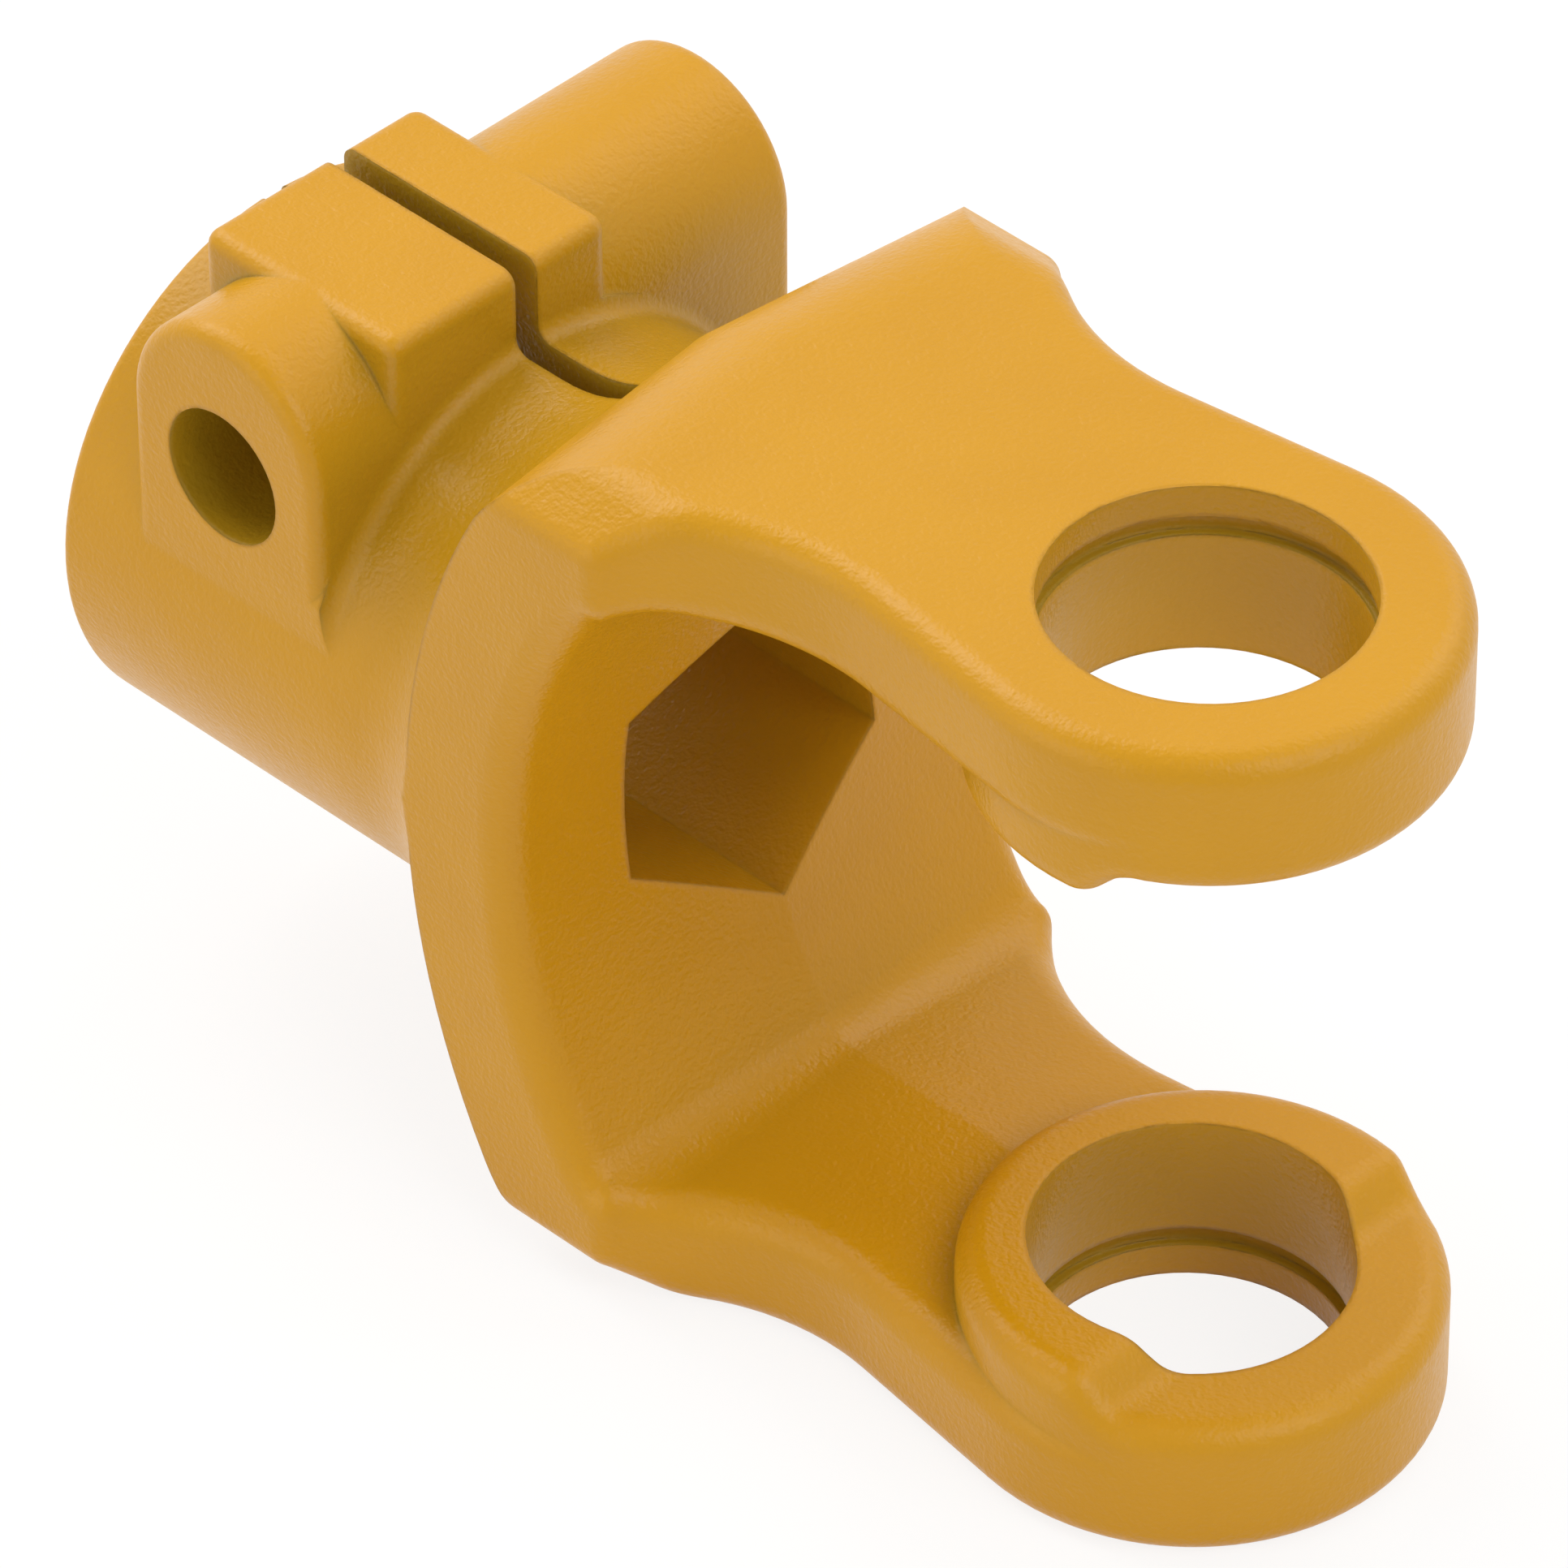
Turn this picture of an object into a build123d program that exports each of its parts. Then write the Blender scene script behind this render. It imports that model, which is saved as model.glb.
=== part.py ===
"""Forged driveline yoke: a two-eared fork and a split clamp hub in one solid, in millimetres."""
import math
import os

from build123d import *

os.makedirs("parts", exist_ok=True)

# cross bores through the two ears, with a groove for a snap ring near each outer face
cross_bore_radius = 13.5
half_width_over_ears = 41.5
ring_radius = 21.15
groove_outer_height = 38.45
groove_width = 1.9
groove_depth = 1.0

# inner faces of the ears, raised on the hub side to pads that each end in a slanted step
ear_face_height = 28.2
ear_edge_blend = 2.6
pad_rise = 3.1
pad_inset = 0.75
pad_centre_x = 1.6
step_top_x = 4.9
step_foot_x = 7.9
step_round_more = 0.3

# outline of the fork seen along the bores
shoulder_half_width = 27.0
shoulder_front_x = -41.1
waist_line_slope = 8.1
waist_x = -19.5

# back of the fork seen across the ears
back_x = -65.6
back_radius = 75.0
back_corner_round = 14.5
back_draft = 6.0

# sloping facets along the shoulders
facet_waist_gap = 2.7121
facet_drop = 4.3
facet_top_round = 5.5

# throat between the ears
throat_x = -49.0
throat_radius = 50.0
throat_clearance = 0.3
throat_corner_round = 4.0
throat_draft = 5.5

# clamp hub
hub_radius = 25.05
hub_end_x = -105.85
hub_edge_round = 1.0
flare_radius = 14.0
flare_sink = 0.4
hex_across_flats = 28.575

# clamp block and bolt bosses
block_back_x = -98.1
block_front_x = -75.5
block_near_y = -15.05
block_far_y = 9.6
block_top = 33.0
block_corner_round = 1.5
block_edge_round = 1.4
boss_back_x = -97.5
boss_near_y = -24.1
boss_far_y = 31.2
boss_foot = 6.8
boss_edge_round = 1.5
foot_blend = 1.5
bolt_x = -86.6
bolt_height = 18.8
bolt_hole_radius = 6.25

# saw cut that lets the hub close on the shaft
slit_width = 2.5
slit_front_x = -59.0

# rounded edges of the forging
ear_edge_round = 2.5
shoulder_corner_round = 2.5
throat_edge_round = 3.2
round_share_of_wall = 0.7

# how far drawn and cutting shapes run past what they meet, and how near counts as on a plane
overcut = 6.0
near = 0.001

# tangent line from the ear ring down to the waist, then the arc out to the shoulder
slope = math.radians(waist_line_slope)
tangent_x = -ring_radius * math.sin(slope)
tangent_y = ring_radius * math.cos(slope)
waist_y = tangent_y + (waist_x - tangent_x) * math.tan(slope)
chord_x = shoulder_front_x - waist_x
chord_y = shoulder_half_width - waist_y
normal_reach = chord_y * math.cos(slope) - chord_x * math.sin(slope)
waist_radius = (chord_x**2 + chord_y**2) / (2 * normal_reach)
waist_centre_x = waist_x - waist_radius * math.sin(slope)
waist_centre_y = waist_y + waist_radius * math.cos(slope)
turn_start = math.atan2(waist_y - waist_centre_y, waist_x - waist_centre_x)
turn_end = math.atan2(shoulder_half_width - waist_centre_y, shoulder_front_x - waist_centre_x)
turn_middle = (turn_start + turn_end) / 2
waist_arc_x = waist_centre_x + waist_radius * math.cos(turn_middle)
waist_arc_y = waist_centre_y + waist_radius * math.sin(turn_middle)

# the facets' top line keeps clear of the waists, and its rounding ends before them
facet_side_height = half_width_over_ears - facet_drop
facet_top_half_width = waist_y + facet_waist_gap
facet_slope = math.atan2(facet_drop, shoulder_half_width - facet_top_half_width)
facet_round_room = facet_waist_gap / math.tan(facet_slope / 2)
facet_round = min(facet_top_round, round_share_of_wall * facet_round_room)

# the back is drawn taller than the fork, which is then cut flat on both outer faces
drawn_half_height = half_width_over_ears + overcut
back_sag = back_radius - math.sqrt(back_radius**2 - drawn_half_height**2)
back_corner_x = back_x + back_sag
fork_nose_x = ring_radius + 2 * overcut
throat_half_height = ear_face_height + throat_clearance
throat_sag = throat_radius - math.sqrt(throat_radius**2 - throat_half_height**2)
throat_corner_x = throat_x + throat_sag

# the throat's rounded rim is limited by the wall between it and the facets
throat_side_height = throat_half_height + shoulder_half_width * math.tan(math.radians(throat_draft))
rim_wall = facet_side_height - throat_side_height
rim_round = min(throat_edge_round, round_share_of_wall * rim_wall)

# the flare is the path of a ball that rolls between the hub and the curved back
ball_height = hub_radius + flare_radius
ball_reach = math.sqrt((back_radius + flare_radius) ** 2 - ball_height**2)
touch_share = back_radius / (back_radius + flare_radius)
back_centre_x = back_x + back_radius + flare_sink
flare_start_x = back_centre_x - ball_reach
flare_top_x = back_centre_x - touch_share * ball_reach
flare_top_radius = touch_share * ball_height

# raised pads: their outline leaves the ear ring where the two circles meet
pad_face_height = ear_face_height - pad_rise
pad_radius = ring_radius - pad_inset
pad_meet_x = (ring_radius**2 - pad_radius**2 + pad_centre_x**2) / (2 * pad_centre_x)
pad_meet_y = math.sqrt(ring_radius**2 - pad_meet_x**2)
step_edge_round = ear_edge_blend + step_round_more
eye_depth = groove_outer_height - groove_width - pad_face_height

block_length = block_front_x - block_back_x
block_centre_x = (block_back_x + block_front_x) / 2
block_centre_y = (block_near_y + block_far_y) / 2
boss_length = block_front_x - boss_back_x
boss_centre_x = (boss_back_x + block_front_x) / 2
boss_centre_height = block_top - boss_length / 2
blend_front_x = block_front_x + foot_blend
blend_back_x = block_front_x - foot_blend
blend_top = hub_radius + foot_blend
blend_foot = hub_radius - foot_blend

with BuildPart() as blank:
    # curved back and flat outer faces, drafted both ways from the parting plane
    with BuildSketch(Plane.XZ):
        with BuildLine():
            ThreePointArc(
                (back_corner_x, drawn_half_height),
                (back_x, 0),
                (back_corner_x, -drawn_half_height),
            )
            Polyline(
                (back_corner_x, -drawn_half_height),
                (fork_nose_x, -drawn_half_height),
                (fork_nose_x, drawn_half_height),
                (back_corner_x, drawn_half_height),
            )
        make_face()
    extrude(amount=shoulder_half_width, taper=back_draft, both=True)
    split(bisect_by=Plane.XY.offset(half_width_over_ears), keep=Keep.BOTTOM)
    split(bisect_by=Plane.XY.offset(-half_width_over_ears), keep=Keep.TOP)
    outer_edges = edges().filter_by(lambda e: abs(e.center().Z) > half_width_over_ears - near)
    fillet(outer_edges.group_by(Axis.X)[0], back_corner_round)

    # hub and its flare, blending into the back of the fork
    with BuildSketch(Plane.XY):
        with BuildLine():
            Polyline(
                (shoulder_front_x, 0),
                (hub_end_x, 0),
                (hub_end_x, hub_radius),
                (flare_start_x, hub_radius),
            )
            RadiusArc(
                (flare_start_x, hub_radius),
                (flare_top_x, flare_top_radius),
                -flare_radius,
            )
            Polyline(
                (flare_top_x, flare_top_radius),
                (shoulder_front_x, flare_top_radius),
                (shoulder_front_x, 0),
            )
        make_face()
        fillet(vertices().group_by(Axis.X)[0].sort_by(Axis.Y)[-1], hub_edge_round)
    revolve(axis=Axis.X)

    # outline seen along the bores: round ears, waists and straight shoulders
    with BuildSketch(Plane.XY.offset(-half_width_over_ears)):
        with BuildLine():
            ThreePointArc(
                (tangent_x, -tangent_y),
                (ring_radius, 0),
                (tangent_x, tangent_y),
            )
            Line((tangent_x, tangent_y), (waist_x, waist_y))
            ThreePointArc(
                (waist_x, waist_y),
                (waist_arc_x, waist_arc_y),
                (shoulder_front_x, shoulder_half_width),
            )
            Polyline(
                (shoulder_front_x, shoulder_half_width),
                (hub_end_x - overcut, shoulder_half_width),
                (hub_end_x - overcut, -shoulder_half_width),
                (shoulder_front_x, -shoulder_half_width),
            )
            ThreePointArc(
                (shoulder_front_x, -shoulder_half_width),
                (waist_arc_x, -waist_arc_y),
                (waist_x, -waist_y),
            )
            Line((waist_x, -waist_y), (tangent_x, -tangent_y))
        make_face()
    extrude(amount=2 * half_width_over_ears, mode=Mode.INTERSECT)

    # sloping facets between the side faces and the outer faces, along the shoulders only
    with BuildSketch(Plane.YZ.offset(waist_x)):
        with BuildLine():
            Polyline(
                (shoulder_half_width, facet_side_height),
                (facet_top_half_width, half_width_over_ears),
                (facet_top_half_width - facet_round, half_width_over_ears),
                (facet_top_half_width - facet_round, half_width_over_ears + overcut),
                (shoulder_half_width + overcut, half_width_over_ears + overcut),
                (shoulder_half_width + overcut, facet_side_height),
                close=True,
            )
        make_face()
        fillet(vertices().sort_by_distance((facet_top_half_width, half_width_over_ears))[0], facet_round)
        mirror(about=Plane.XZ)
        mirror(about=Plane.YZ)
    extrude(amount=back_x - overcut - waist_x, mode=Mode.SUBTRACT)

    # rounded shoulder corners, then rounded edges round the outside of the ears and waists
    corners = edges().filter_by(Axis.Z).filter_by(lambda e: abs(e.center().X - shoulder_front_x) < near)
    fillet(corners, shoulder_corner_round)
    ear_walls = faces().filter_by(lambda f: abs(f.normal_at().Z) < near and f.center().X > shoulder_front_x)
    ear_edges = ear_walls.edges().filter_by(lambda e: abs(e.center().Z) > ear_face_height)
    fillet(ear_edges, ear_edge_round)

with BuildPart() as block:
    # clamp block across the top of the hub
    with BuildSketch(Plane.XY.offset(block_top)):
        with Locations((block_centre_x, block_centre_y)):
            Rectangle(block_length, block_far_y - block_near_y)
    extrude(amount=boss_foot - block_top)
    fillet(edges().filter_by(Axis.Z), block_corner_round)
    fillet(edges().group_by(Axis.Z)[-1], block_edge_round)

with BuildPart() as boss:
    # bolt boss through the block, flat sided with a round top
    with BuildSketch(Plane.XZ.offset(-boss_far_y)):
        with BuildLine():
            ThreePointArc(
                (boss_back_x, boss_centre_height),
                (boss_centre_x, block_top),
                (block_front_x, boss_centre_height),
            )
            Polyline(
                (block_front_x, boss_centre_height),
                (block_front_x, boss_foot),
                (boss_back_x, boss_foot),
                (boss_back_x, boss_centre_height),
            )
        make_face()
    extrude(amount=boss_far_y - boss_near_y)
    end_edges = edges().filter_by(Axis.Y, reverse=True)
    fillet(end_edges.filter_by(lambda e: e.center().Z > boss_foot + near), boss_edge_round)

with BuildPart() as blend:
    # hollow blend where the front of the block and bosses meets the hub
    with BuildSketch(Plane.XY):
        with BuildLine():
            Polyline(
                (blend_front_x, hub_radius),
                (blend_front_x, blend_foot),
                (blend_back_x, blend_foot),
                (blend_back_x, blend_top),
                (block_front_x, blend_top),
            )
            RadiusArc((block_front_x, blend_top), (blend_front_x, hub_radius), -foot_blend)
        make_face()
    revolve(axis=Axis.X)
    with BuildSketch(Plane.XY.offset(boss_foot)):
        with Locations((block_front_x, (boss_near_y + boss_far_y) / 2)):
            Rectangle(4 * foot_blend, boss_far_y - boss_near_y)
    extrude(amount=block_top - boss_foot, mode=Mode.INTERSECT)

with BuildPart() as eye:
    # round end of an ear, drawn in a little to the pad's edge on the hub side
    with BuildSketch(Plane.XY.offset(pad_face_height)):
        with BuildLine():
            ThreePointArc(
                (pad_meet_x, -pad_meet_y),
                (ring_radius, 0),
                (pad_meet_x, pad_meet_y),
            )
            ThreePointArc(
                (pad_meet_x, pad_meet_y),
                (pad_centre_x - pad_radius, 0),
                (pad_meet_x, -pad_meet_y),
            )
        make_face()
    extrude(amount=eye_depth)

    # slanted step from the pad down to the outer part of the face
    with BuildSketch(Plane.XZ):
        with BuildLine():
            Polyline(
                (step_top_x, pad_face_height),
                (step_foot_x, ear_face_height),
                (ring_radius + overcut, ear_face_height),
                (ring_radius + overcut, pad_face_height),
                close=True,
            )
        make_face()
    extrude(amount=ring_radius + overcut, both=True, mode=Mode.SUBTRACT)
    fillet(edges().filter_by(Axis.Y), step_edge_round)

    # rounded edge all round the face, following the step
    top_height = pad_face_height + eye_depth
    face_edges = edges().filter_by(lambda e: e.bounding_box().max.Z < top_height - near)
    fillet(face_edges.filter_by(Axis.Y, reverse=True), ear_edge_blend)

with BuildPart() as yoke:
    # forging blank with the clamp block and bosses standing on the hub
    add(blank.part)
    add(block.part)
    add(boss.part)
    add(blend.part)

    # throat between the ears, drafted both ways from the parting plane
    with BuildSketch(Plane.XZ):
        with BuildLine():
            ThreePointArc(
                (throat_corner_x, throat_half_height),
                (throat_x, 0),
                (throat_corner_x, -throat_half_height),
            )
            Polyline(
                (throat_corner_x, -throat_half_height),
                (fork_nose_x, -throat_half_height),
                (fork_nose_x, throat_half_height),
                (throat_corner_x, throat_half_height),
            )
        make_face()
        fillet(vertices().group_by(Axis.X)[0], throat_corner_round)
    extrude(amount=shoulder_half_width + overcut, taper=-throat_draft, both=True, mode=Mode.SUBTRACT)

    # rounded rim all round the throat and the insides of the arms
    inner_edges = edges(Select.LAST).filter_by(Axis.Z, reverse=True)
    rims = inner_edges.filter_by(lambda e: abs(e.center().Y) > waist_y - ear_edge_round)
    fillet(rims, rim_round)

    # round ends of the ears, which face each other across the throat
    add(eye.part)
    add(eye.part.mirror(Plane.XY))

    # hex bore for the shaft, with flats at the sides
    with BuildSketch(Plane.YZ.offset(hub_end_x)):
        RegularPolygon(hex_across_flats / 2, 6, major_radius=False, rotation=90)
    extrude(amount=-hub_end_x, mode=Mode.SUBTRACT)

    # saw cut from the top of the block down into the hex bore
    with BuildSketch(Plane.XY.offset(block_top)):
        with Locations(((hub_end_x + slit_front_x) / 2, 0)):
            Rectangle(slit_front_x - hub_end_x, slit_width)
    extrude(amount=-block_top, mode=Mode.SUBTRACT)

    # pinch bolt hole through both bosses
    with BuildSketch(Plane.XZ.offset(-boss_far_y)):
        with Locations((bolt_x, bolt_height)):
            Circle(bolt_hole_radius)
    extrude(amount=boss_far_y - boss_near_y, mode=Mode.SUBTRACT)

    # cross bores and the grooves for their snap rings
    with BuildSketch(Plane.XY.offset(-half_width_over_ears)):
        Circle(cross_bore_radius)
    extrude(amount=2 * half_width_over_ears, mode=Mode.SUBTRACT)
    for side in (1, -1):
        with BuildSketch(Plane.XY.offset(side * groove_outer_height)):
            Circle(cross_bore_radius + groove_depth)
        extrude(amount=-side * groove_width, mode=Mode.SUBTRACT)

yoke.part.label = "yoke"
export_step(yoke.part, "parts/yoke.step")
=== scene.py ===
"""Forged driveline yoke in yellow enamel, standing in soft light on a pale studio floor."""
import logging
import math
from dataclasses import dataclass, field
from enum import Enum

import bmesh
import bpy
from mathutils import Matrix, Vector


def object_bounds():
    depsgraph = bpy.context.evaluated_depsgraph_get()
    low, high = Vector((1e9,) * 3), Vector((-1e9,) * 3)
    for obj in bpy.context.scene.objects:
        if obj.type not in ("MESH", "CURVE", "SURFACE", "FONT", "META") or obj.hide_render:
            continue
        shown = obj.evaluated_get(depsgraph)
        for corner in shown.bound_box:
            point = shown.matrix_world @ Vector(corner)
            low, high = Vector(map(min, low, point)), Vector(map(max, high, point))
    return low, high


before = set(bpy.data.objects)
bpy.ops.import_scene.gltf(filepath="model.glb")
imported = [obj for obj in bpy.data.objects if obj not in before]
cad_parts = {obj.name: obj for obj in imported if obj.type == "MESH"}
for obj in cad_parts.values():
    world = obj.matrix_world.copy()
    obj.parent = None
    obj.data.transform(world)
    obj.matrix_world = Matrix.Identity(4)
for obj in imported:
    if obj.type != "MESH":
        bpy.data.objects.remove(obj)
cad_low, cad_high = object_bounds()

log = logging.getLogger("yoke")

MM = 0.001
WHITE_HEX = "#FFFFFF"

# Sockets of the Mix node, which has one set for numbers and one for colours.
MIX_FACTOR = 0
NUMBER_A, NUMBER_B, NUMBER_OUT = 2, 3, 0
COLOUR_A, COLOUR_B, COLOUR_OUT = 6, 7, 2

# Where something starts to count, and where it counts in full.
Span = tuple[float, float]


def linear(hex_colour: str) -> tuple[float, float, float, float]:
    """Turns an sRGB hex colour to the linear colour that the shaders take.

    Args:
        hex_colour: Colour such as "#DEA11A".

    Returns:
        Red, green, blue and an alpha of 1.
    """
    parts = [int(hex_colour[i:i + 2], 16) / 255 for i in (1, 3, 5)]
    red, green, blue = (p / 12.92 if p <= 0.04045 else ((p + 0.055) / 1.055) ** 2.4 for p in parts)
    return red, green, blue, 1.0


def per_metre(grain_mm: float) -> float:
    """Gives the noise scale, on coordinates in metres, at which a grain is so many millimetres wide."""
    return 1 / (grain_mm * MM)


def add_node(tree: bpy.types.NodeTree, kind: str, inputs: dict[str | int, object] | None = None,
             **settings: object) -> bpy.types.Node:
    """Adds a node with its settings, and its inputs as values or as links.

    Args:
        tree: The node tree to add to.
        kind: The node's type, such as "ShaderNodeTexNoise".
        inputs: Socket name or number to a value, or to the output that feeds it.
        **settings: Attributes of the node.

    Returns:
        The new node.
    """
    node = tree.nodes.new(kind)
    for name, value in settings.items():
        setattr(node, name, value)
    for socket, value in (inputs or {}).items():
        if isinstance(value, bpy.types.NodeSocket):
            tree.links.new(value, node.inputs[socket])
        else:
            node.inputs[socket].default_value = value
    return node


def from_white_rays(tree: bpy.types.NodeTree) -> bpy.types.NodeSocket:
    """Gives 1 for the rays that see the background: from the camera, in a gloss or through glass.

    Args:
        tree: The node tree of the floor or the world.

    Returns:
        The output that holds the 1 or 0.
    """
    path = add_node(tree, "ShaderNodeLightPath")
    seen = add_node(tree, "ShaderNodeMath", operation="MAXIMUM", inputs={
        0: path.outputs["Is Camera Ray"], 1: path.outputs["Is Glossy Ray"]})
    either = add_node(tree, "ShaderNodeMath", operation="MAXIMUM", inputs={
        0: seen.outputs[0], 1: path.outputs["Is Transmission Ray"]})
    return either.outputs[0]


@dataclass(frozen=True)
class Grain:
    """One layer of unevenness in a surface."""

    width_mm: float
    depth_mm: float
    octaves: float


@dataclass(frozen=True)
class YellowEnamel:
    """Air-dried enamel, sprayed over a shot-blasted steel forging.

    Deep in the bores and the throat the colour turns darker and more olive: this is painted shade. Along the
    inside corners it turns pale in broken, matt lines: this is a painted highlight.
    """

    # To the eye the paint is a warm, even yellow with a satin gloss. The orange peel breaks up its
    # highlights and the uneven forging makes them wander. Pale, matt, broken lines in the inside corners are
    # a painted highlight, and the bores and the throat get a darker, olive painted shade.
    name: str = "yellow_enamel_on_forged_steel"
    full_hex: str = "#E1A10C"
    thin_hex: str = "#DE9E0B"
    # Painted shade: the darker, more olive colour taken on by the bores, the throat and other sheltered
    # places.
    painted_shade_hex: str = "#BC9720"
    # Painted highlight: the pale colour of the broken lines along the inside corners, which are also matt.
    corner_highlight_hex: str = "#DDB26A"
    roughness: float = 0.33
    roughness_spread: float = 0.05
    # Roughness of the painted highlight lines in the inside corners.
    corner_highlight_roughness: float = 0.60
    ior: float = 1.5
    specular: float = 0.36

    # The blasted steel's own grain, about a tenth of a millimetre, is too fine to show and is drawn coarser.
    # The orange peel is as wide as it looks on the real yoke, and drawn deeper, so that the camera sees it.
    forging: Grain = Grain(width_mm=6.0, depth_mm=0.13, octaves=1.0)
    peel: Grain = Grain(width_mm=0.52, depth_mm=0.08, octaves=1.0)
    blast: Grain = Grain(width_mm=0.30, depth_mm=0.025, octaves=2.0)

    # How far the shading softens the edges that are sharp in the solid.
    edge_round_mm: float = 0.8
    edge_samples: int = 4

    # Noise that colours the film. Each span is the part of the noise, 0 to 1, that goes from none to full.
    film_octaves: float = 2.0
    mottle_mm: float = 16.0
    mottle_span: Span = (0.35, 0.65)
    speckle_mm: float = 0.45
    speckle_span: Span = (0.42, 0.58)
    gloss_span: Span = (0.30, 0.70)

    # How far away metal shelters the surface, and the shares of open sky at which shelter starts and is full.
    # The first reach sets where the painted shade falls, the second where the painted corner highlight falls.
    painted_shade_mm: float = 26.0
    painted_shade_sky: Span = (0.97, 0.48)
    corner_mm: float = 1.2
    corner_sky: Span = (0.76, 0.62)
    sky_samples: int = 4

    def shelter(self, tree: bpy.types.NodeTree, reach_mm: float, sky: Span) -> bpy.types.NodeSocket:
        """Marks where the surface is sheltered by metal within a reach.

        Args:
            tree: The material's node tree.
            reach_mm: How far away metal still shelters.
            sky: Shares of open sky at which shelter starts and at which it is full.

        Returns:
            How sheltered the surface is, 0 to 1.
        """
        seen = add_node(tree, "ShaderNodeAmbientOcclusion", only_local=True, samples=self.sky_samples,
                        inputs={"Distance": reach_mm * MM})
        shut = add_node(tree, "ShaderNodeMapRange", inputs={
            "Value": seen.outputs["AO"], "From Min": sky[0], "From Max": sky[1]})
        return shut.outputs["Result"]

    def painted_corner_highlight(self, tree: bpy.types.NodeTree, where: bpy.types.NodeSocket,
                      painted_shade: bpy.types.NodeSocket) -> bpy.types.NodeSocket:
        """Marks the open inside corners, broken up by speckle, where the painted highlight goes.

        Args:
            tree: The material's node tree.
            where: Object coordinates.
            painted_shade: How much painted shade the place gets, 0 to 1.

        Returns:
            How much painted highlight the place gets, 0 to 1.
        """
        grains = add_node(tree, "ShaderNodeTexNoise", inputs={
            "Vector": where, "Scale": per_metre(self.speckle_mm), "Detail": self.film_octaves})
        speckle = add_node(tree, "ShaderNodeMapRange", inputs={
            "Value": grains.outputs["Fac"],
            "From Min": self.speckle_span[0], "From Max": self.speckle_span[1]})
        broken = add_node(tree, "ShaderNodeMath", operation="MULTIPLY", inputs={
            0: self.shelter(tree, self.corner_mm, self.corner_sky), 1: speckle.outputs["Result"]})
        outside = add_node(tree, "ShaderNodeMath", operation="SUBTRACT", use_clamp=True, inputs={
            0: broken.outputs[0], 1: painted_shade})
        return outside.outputs[0]

    def film(self, tree: bpy.types.NodeTree, where: bpy.types.NodeSocket, painted_shade: bpy.types.NodeSocket,
             corner_highlight: bpy.types.NodeSocket) -> bpy.types.NodeSocket:
        """Colours the film: full or thin on the outside, darker and olive with painted shade in sheltered
        places, pale with a painted highlight in the inside corners.

        Args:
            tree: The material's node tree.
            where: Object coordinates.
            painted_shade: How much painted shade the place gets, 0 to 1.
            corner_highlight: How much painted highlight the place gets, 0 to 1.

        Returns:
            The colour.
        """
        clouds = add_node(tree, "ShaderNodeTexNoise", inputs={
            "Vector": where, "Scale": per_metre(self.mottle_mm), "Detail": self.film_octaves})
        mottle = add_node(tree, "ShaderNodeMapRange", inputs={
            "Value": clouds.outputs["Fac"],
            "From Min": self.mottle_span[0], "From Max": self.mottle_span[1]})
        outside = add_node(tree, "ShaderNodeMix", data_type="RGBA", inputs={
            MIX_FACTOR: mottle.outputs["Result"],
            COLOUR_A: linear(self.thin_hex), COLOUR_B: linear(self.full_hex)})
        # Painted shade: the colour turns darker and olive in sheltered places.
        with_painted_shade = add_node(tree, "ShaderNodeMix", data_type="RGBA", inputs={
            MIX_FACTOR: painted_shade, COLOUR_A: outside.outputs[COLOUR_OUT], COLOUR_B: linear(self.painted_shade_hex)})
        # Painted highlight: pale, broken lines along the inside corners.
        with_corner_highlight = add_node(tree, "ShaderNodeMix", data_type="RGBA", inputs={
            MIX_FACTOR: corner_highlight, COLOUR_A: with_painted_shade.outputs[COLOUR_OUT], COLOUR_B: linear(self.corner_highlight_hex)})
        return with_corner_highlight.outputs[COLOUR_OUT]

    def gloss(self, tree: bpy.types.NodeTree, where: bpy.types.NodeSocket,
              corner_highlight: bpy.types.NodeSocket) -> bpy.types.NodeSocket:
        """Varies the gloss with the orange peel, and dulls it along the painted corner highlight.

        Args:
            tree: The material's node tree.
            where: Object coordinates.
            corner_highlight: How much painted highlight the place gets, 0 to 1.

        Returns:
            The roughness.
        """
        cells = add_node(tree, "ShaderNodeTexNoise", inputs={
            "Vector": where, "Scale": per_metre(self.peel.width_mm), "Detail": self.film_octaves})
        satin = add_node(tree, "ShaderNodeMapRange", inputs={
            "Value": cells.outputs["Fac"],
            "From Min": self.gloss_span[0], "From Max": self.gloss_span[1],
            "To Min": self.roughness - self.roughness_spread,
            "To Max": self.roughness + self.roughness_spread})
        rough = add_node(tree, "ShaderNodeMix", inputs={
            MIX_FACTOR: corner_highlight, NUMBER_A: satin.outputs["Result"], NUMBER_B: self.corner_highlight_roughness})
        return rough.outputs[NUMBER_OUT]

    def bumps(self, tree: bpy.types.NodeTree, where: bpy.types.NodeSocket) -> bpy.types.NodeSocket:
        """Stacks the forging's unevenness, the orange peel and the blasted grain on softened edges.

        Args:
            tree: The material's node tree.
            where: Object coordinates.

        Returns:
            The surface normal.
        """
        soft = add_node(tree, "ShaderNodeBevel", samples=self.edge_samples, inputs={
            "Radius": self.edge_round_mm * MM})
        normal = soft.outputs["Normal"]
        for grain in (self.forging, self.peel, self.blast):
            height = add_node(tree, "ShaderNodeTexNoise", inputs={
                "Vector": where, "Scale": per_metre(grain.width_mm), "Detail": grain.octaves})
            bump = add_node(tree, "ShaderNodeBump", inputs={
                "Height": height.outputs["Fac"], "Distance": grain.depth_mm * MM, "Strength": 1.0,
                "Normal": normal})
            normal = bump.outputs["Normal"]
        return normal

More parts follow.
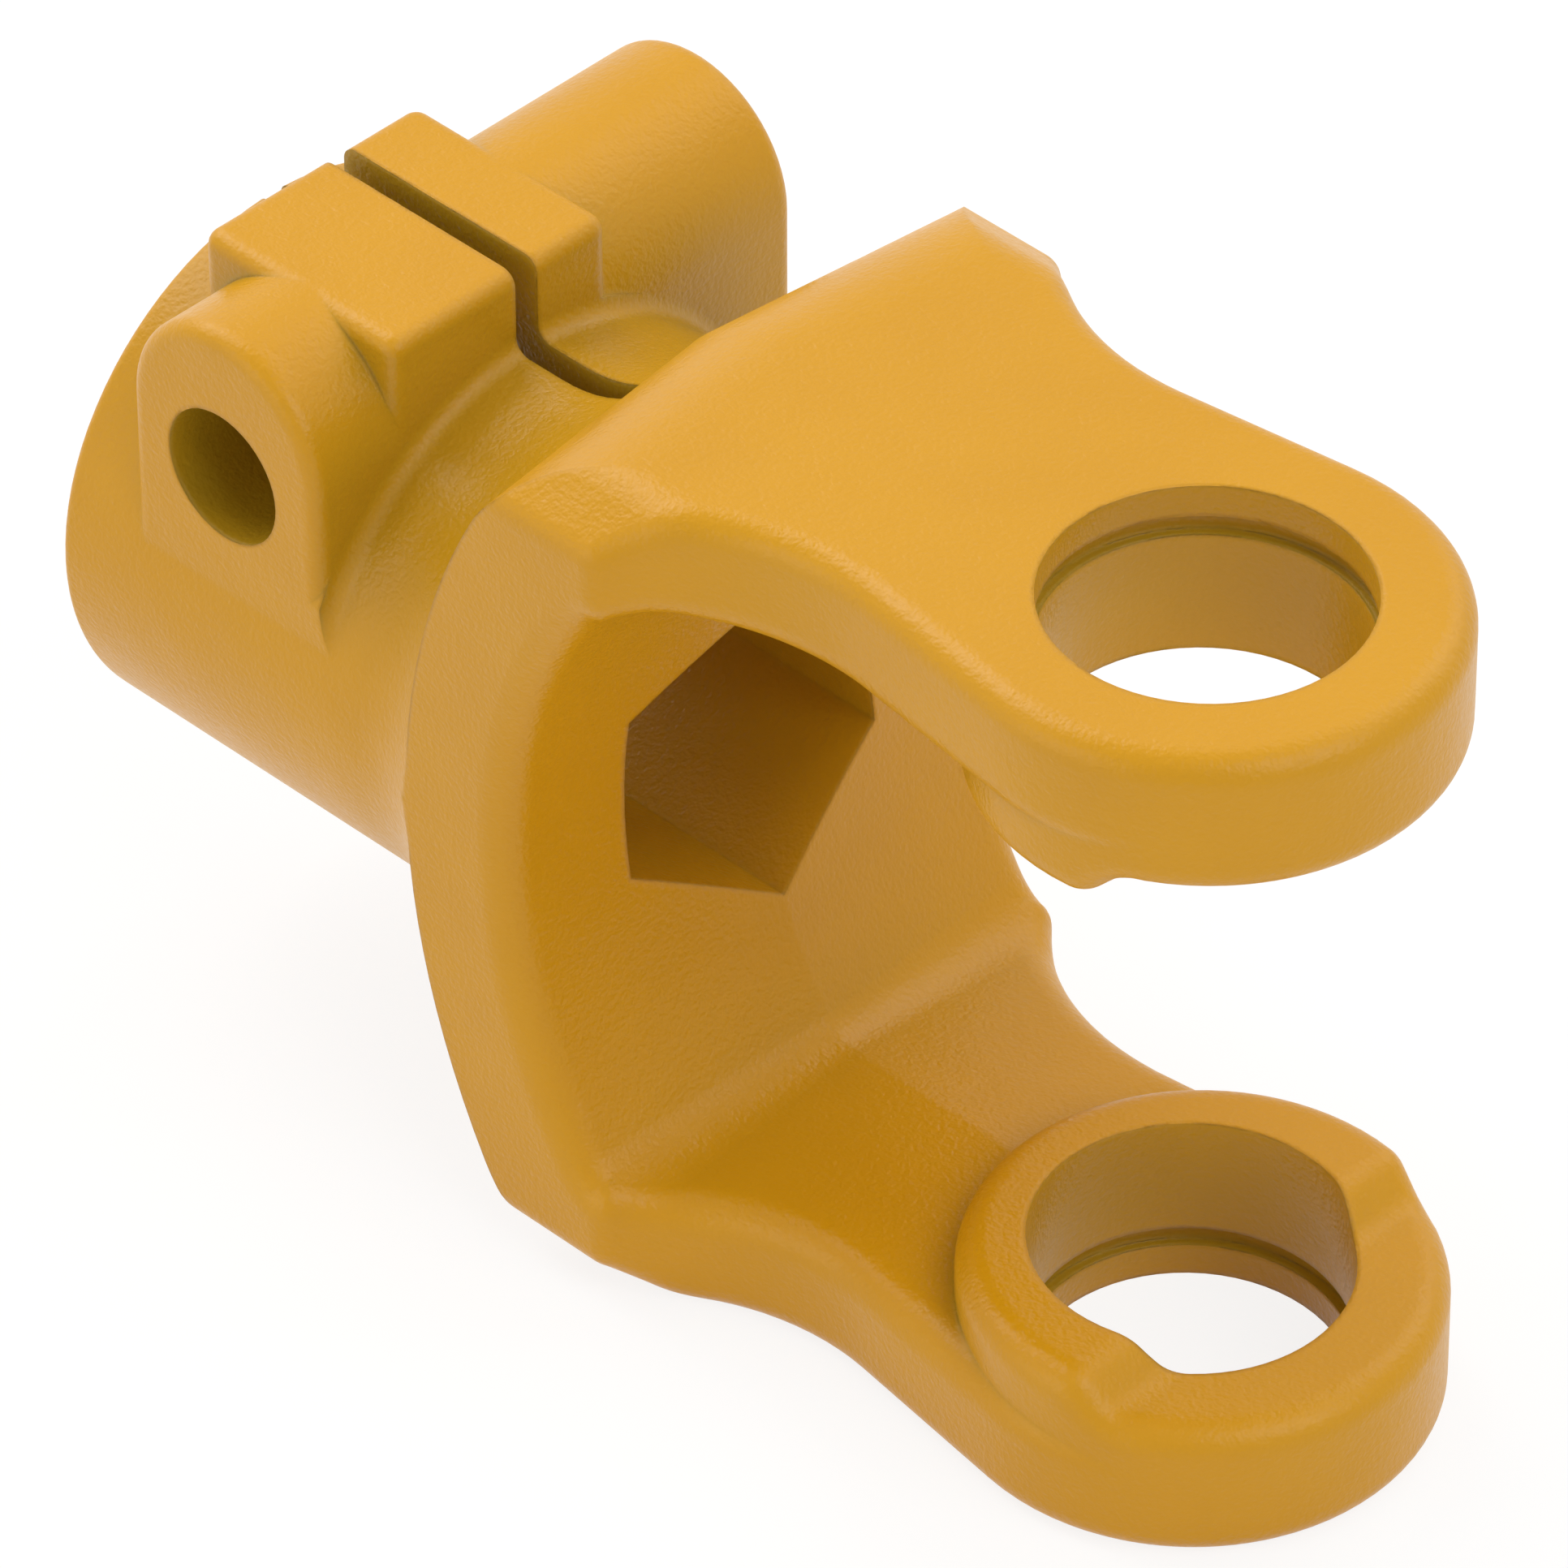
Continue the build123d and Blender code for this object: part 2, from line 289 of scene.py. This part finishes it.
    def material(self) -> bpy.types.Material:
        """Builds the material.

        Returns:
            The material, ready for a slot.
        """
        made = bpy.data.materials.new(self.name)
        made.use_nodes = True
        tree = made.node_tree
        tree.nodes.clear()
        where = add_node(tree, "ShaderNodeTexCoord").outputs["Object"]
        # Painted shade in sheltered places and a painted highlight in the inside corners, both in the colour.
        painted_shade = self.shelter(tree, self.painted_shade_mm, self.painted_shade_sky)
        corner_highlight = self.painted_corner_highlight(tree, where, painted_shade)
        shader = add_node(tree, "ShaderNodeBsdfPrincipled", inputs={
            "Base Color": self.film(tree, where, painted_shade, corner_highlight), "Roughness": self.gloss(tree, where, corner_highlight),
            "IOR": self.ior, "Specular IOR Level": self.specular, "Normal": self.bumps(tree, where)})
        add_node(tree, "ShaderNodeOutputMaterial", inputs={"Surface": shader.outputs[0]})
        return made


@dataclass(frozen=True)
class PaleFloor:
    """Matt white laminate board, which the camera sees as white with the object's soft shadow on it."""

    # To the eye it is plain white with no gloss, grey only in the shadow. The light that it throws back on
    # the object is that of the board's own colour.
    name: str = "matt_white_laminate"
    board_hex: str = "#F1F1EF"

    # What is seen of it is a darker board lifted by an even glow: white in the open, a little less in shadow.
    seen_hex: str = "#7C7C7B"
    lift: float = 0.84

    def material(self) -> bpy.types.Material:
        """Builds the material.

        Returns:
            The material, ready for a slot.
        """
        made = bpy.data.materials.new(self.name)
        made.use_nodes = True
        tree = made.node_tree
        tree.nodes.clear()
        board = add_node(tree, "ShaderNodeBsdfDiffuse", inputs={"Color": linear(self.board_hex)})
        shade = add_node(tree, "ShaderNodeBsdfDiffuse", inputs={"Color": linear(self.seen_hex)})
        lift = add_node(tree, "ShaderNodeEmission", inputs={"Strength": self.lift})
        seen = add_node(tree, "ShaderNodeAddShader", inputs={0: shade.outputs[0], 1: lift.outputs[0]})
        floor = add_node(tree, "ShaderNodeMixShader", inputs={
            0: from_white_rays(tree), 1: board.outputs[0], 2: seen.outputs[0]})
        add_node(tree, "ShaderNodeOutputMaterial", inputs={"Surface": floor.outputs[0]})
        return made


@dataclass
class Yoke:
    """The forged yoke itself, one piece of painted steel."""

    node: str = "yoke"
    finish: YellowEnamel = field(default_factory=YellowEnamel)

    def dress(self) -> bpy.types.Object:
        """Paints the yoke.

        Returns:
            The yoke's object.
        """
        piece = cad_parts[self.node]
        paint = self.finish.material()
        for slot in piece.material_slots:
            slot.material = paint
        return piece


@dataclass
class PortraitCamera:
    """Long-lens camera at the photograph's place."""

    azimuth_deg: float = 44.526
    elevation_deg: float = 39.752
    roll_deg: float = -0.143
    place_mm: tuple[float, float, float] = (531.09, -586.95, 680.16)
    lens_mm: float = 300.1
    sensor_mm: float = 36.0
    near_m: float = 0.01
    far_m: float = 50.0

    def build(self) -> bpy.types.Object:
        """Makes the camera and gives it to the scene.

        Returns:
            The camera's object.
        """
        turn, rise, roll = (math.radians(d) for d in (self.azimuth_deg, self.elevation_deg, self.roll_deg))
        back = Vector((math.sin(turn) * math.cos(rise), -math.cos(turn) * math.cos(rise), math.sin(rise)))
        level = Vector((math.cos(turn), math.sin(turn), 0.0))
        up = back.cross(level)
        right = math.cos(roll) * level + math.sin(roll) * up
        top = math.cos(roll) * up - math.sin(roll) * level
        data = bpy.data.cameras.new("portrait_camera")
        data.lens = self.lens_mm
        data.sensor_width = self.sensor_mm
        data.clip_start = self.near_m
        data.clip_end = self.far_m
        camera = bpy.data.objects.new("portrait_camera", data)
        place = Matrix((right, top, back)).transposed().to_4x4()
        place.translation = Vector(self.place_mm) * MM
        camera.matrix_world = place
        bpy.context.collection.objects.link(camera)
        bpy.context.scene.camera = camera
        return camera


class LampSide(Enum):
    """Side of the yoke on which a lamp stands."""

    LEFT = "left"
    RIGHT = "right"
    BACK = "back"
    FRONT = "front"


@dataclass
class Softbox:
    """Square area lamp that looks at the yoke."""

    side: LampSide
    place_m: tuple[float, float, float]
    power_w: float
    width_m: float = 1.2
    aim_m: tuple[float, float, float] = (-0.04, 0.0, 0.0)

    def build(self) -> bpy.types.Object:
        """Makes the lamp.

        Returns:
            The lamp's object.
        """
        data = bpy.data.lights.new(f"{self.side.value}_softbox", "AREA")
        data.shape = "SQUARE"
        data.size = self.width_m
        data.energy = self.power_w
        lamp = bpy.data.objects.new(data.name, data)
        lamp.location = Vector(self.place_m)
        lamp.rotation_euler = (Vector(self.aim_m) - lamp.location).to_track_quat("-Z", "Y").to_euler()
        bpy.context.collection.objects.link(lamp)
        return lamp


@dataclass
class Studio:
    """Pale floor, white surroundings and soft lamps."""

    floor_half_width_m: float = 4.0
    world_strength: float = 0.30
    lamps: tuple[Softbox, ...] = (
        Softbox(LampSide.LEFT, place_m=(-1.13, 0.0, 1.13), power_w=12.7),
        Softbox(LampSide.RIGHT, place_m=(1.13, 0.0, 1.13), power_w=8.5),
        Softbox(LampSide.BACK, place_m=(0.0, 1.13, 1.13), power_w=5.8),
        Softbox(LampSide.FRONT, place_m=(-0.40, -1.49, 0.41), power_w=5.0),
    )

    def floor(self) -> bpy.types.Object:
        """Lays the floor under the lowest face.

        Returns:
            The floor's object.
        """
        flat = bmesh.new()
        bmesh.ops.create_grid(flat, x_segments=1, y_segments=1, size=self.floor_half_width_m)
        bmesh.ops.translate(flat, verts=flat.verts, vec=(0.0, 0.0, cad_low.z))
        mesh = bpy.data.meshes.new("studio_floor")
        flat.to_mesh(mesh)
        flat.free()
        mesh.materials.append(PaleFloor().material())
        board = bpy.data.objects.new("studio_floor", mesh)
        bpy.context.collection.objects.link(board)
        return board

    def surroundings(self) -> None:
        """Lights the scene evenly from white surroundings, which the camera sees as white."""
        world = bpy.data.worlds.new("white_studio")
        bpy.context.scene.world = world
        world.use_nodes = True
        tree = world.node_tree
        tree.nodes.clear()
        light = add_node(tree, "ShaderNodeBackground", inputs={
            "Color": linear(WHITE_HEX), "Strength": self.world_strength})
        white = add_node(tree, "ShaderNodeBackground", inputs={"Color": linear(WHITE_HEX), "Strength": 1.0})
        mixed = add_node(tree, "ShaderNodeMixShader", inputs={
            0: from_white_rays(tree), 1: light.outputs[0], 2: white.outputs[0]})
        add_node(tree, "ShaderNodeOutputWorld", inputs={"Surface": mixed.outputs[0]})

    def build(self) -> list[bpy.types.Object]:
        """Sets up the floor, the surroundings and the lamps.

        Returns:
            The floor's object and the lamps' objects.
        """
        self.surroundings()
        bpy.context.scene.view_settings.view_transform = "Standard"
        return [self.floor(), *(lamp.build() for lamp in self.lamps)]


def main() -> None:
    """Builds the scene in order and reports each piece."""
    logging.basicConfig(level=logging.INFO, format="%(name)s: %(message)s")
    camera = PortraitCamera().build()
    log.info("%s looks with a lens of %.1f mm", camera.name, camera.data.lens)
    yoke = Yoke().dress()
    log.info("%s painted with %s", yoke.name, yoke.active_material.name)
    for thing in Studio().build():
        log.info("%s set up", thing.name)


if __name__ == "__main__":
    main()
